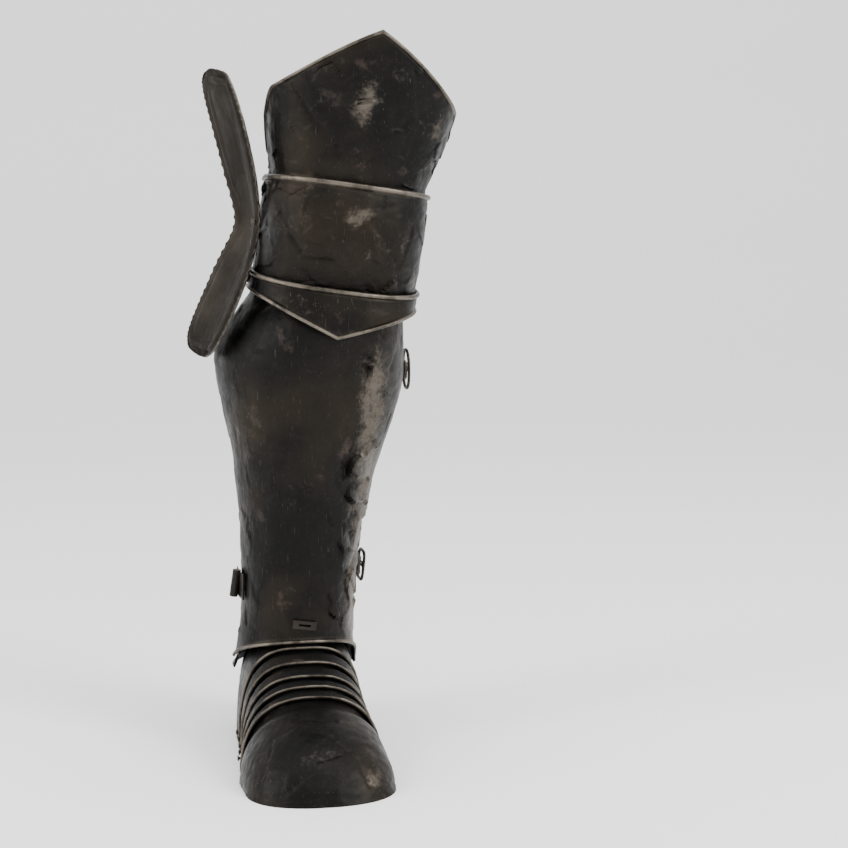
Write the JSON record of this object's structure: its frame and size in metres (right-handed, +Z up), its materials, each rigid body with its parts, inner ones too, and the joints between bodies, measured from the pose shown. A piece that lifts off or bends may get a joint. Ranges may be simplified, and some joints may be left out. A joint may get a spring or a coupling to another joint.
{
  "type": "greave with knee defence and sabaton",
  "caption": "Closed steel armour for a right lower leg: greave, domed knee cop with a fluted side wing, pointed plate above the knee and laminated foot defence.",
  "frame": {"origin": "on the floor under the middle of the bounding box", "axes": "+Z up along the leg, toe towards -Y, outer side of the leg towards -X"},
  "size_m": [0.2422, 0.3258, 0.6691],
  "materials": {
    "black_steel": "blackened, worn bright along the rims",
    "worn_steel": "blackening worn off, brownish",
    "fittings": "dark, dull",
    "leather": "black, creased"
  },
  "bodies": {
    "greave": {"greave_front": "black_steel", "greave_back": "black_steel", "greave_hinge": "fittings", "front_staple": "fittings", "strap_upper": "leather", "strap_lower": "leather", "buckle_upper": "fittings", "buckle_lower": "fittings", "ankle_lame": "black_steel", "heel_plate": "black_steel", "lame_pivot_outer": "fittings", "lame_pivot_inner": "fittings", "foot_pivot_1_outer": "fittings", "foot_pivot_1_inner": "fittings"},
    "lower_lame": {"lower_lame": "black_steel"},
    "knee_cop": {"knee_cop": "black_steel", "side_wing": "worn_steel", "wing_rivet_1": "fittings", "wing_rivet_2": "fittings", "wing_rivet_3": "fittings", "knee_strap": "leather", "strap_rivet_inner": "fittings", "knee_buckle": "fittings", "top_pivot_outer": "fittings", "top_pivot_inner": "fittings"},
    "top_plate": {"top_plate": "black_steel"},
    "foot_lame_1": {"foot_lame_1": "black_steel", "foot_pivot_2_outer": "fittings", "foot_pivot_2_inner": "fittings"},
    "foot_lame_2": {"foot_lame_2": "black_steel", "foot_pivot_3_outer": "fittings", "foot_pivot_3_inner": "fittings"},
    "foot_lame_3": {"foot_lame_3": "black_steel", "foot_pivot_4_outer": "fittings", "foot_pivot_4_inner": "fittings"},
    "foot_lame_4": {"foot_lame_4": "black_steel", "foot_pivot_5_outer": "fittings", "foot_pivot_5_inner": "fittings"},
    "toe_cap": {"toe_cap": "black_steel"}
  },
  "joints": [
    {"name": "lame_joint", "type": "hinge", "parent": "greave", "child": "lower_lame", "pos_m": [0.01036, 0.04407, 0.43504], "axis": [-0.9903, 0, 0.1392], "range_deg": [0, 11]},
    {"name": "cop_joint", "type": "hinge", "parent": "lower_lame", "child": "knee_cop", "pos_m": [0.01036, 0.04407, 0.43504], "axis": [-0.9903, 0, 0.1392], "range_deg": [0, 11]},
    {"name": "top_joint", "type": "hinge", "parent": "knee_cop", "child": "top_plate", "pos_m": [0.02204, 0.03967, 0.5181], "axis": [-0.9903, 0, 0.1392], "range_deg": [0, 25]},
    {"name": "foot_joint_1", "type": "hinge", "parent": "greave", "child": "foot_lame_1", "pos_m": [0, 0.03693, 0.012], "axis": [-1, 0, 0], "range_deg": [0, 3]},
    {"name": "foot_joint_2", "type": "hinge", "parent": "foot_lame_1", "child": "foot_lame_2", "pos_m": [0, 0.01482, 0.012], "axis": [-1, 0, 0], "range_deg": [0, 3]},
    {"name": "foot_joint_3", "type": "hinge", "parent": "foot_lame_2", "child": "foot_lame_3", "pos_m": [0, -0.00707, 0.012], "axis": [-1, 0, 0], "range_deg": [0, 3]},
    {"name": "foot_joint_4", "type": "hinge", "parent": "foot_lame_3", "child": "foot_lame_4", "pos_m": [0, -0.02713, 0.012], "axis": [-1, 0, 0], "range_deg": [0, 1.2]},
    {"name": "foot_joint_5", "type": "hinge", "parent": "foot_lame_4", "child": "toe_cap", "pos_m": [0, -0.04515, 0.012], "axis": [-1, 0, 0], "range_deg": [0, 1.2]}
  ]
}
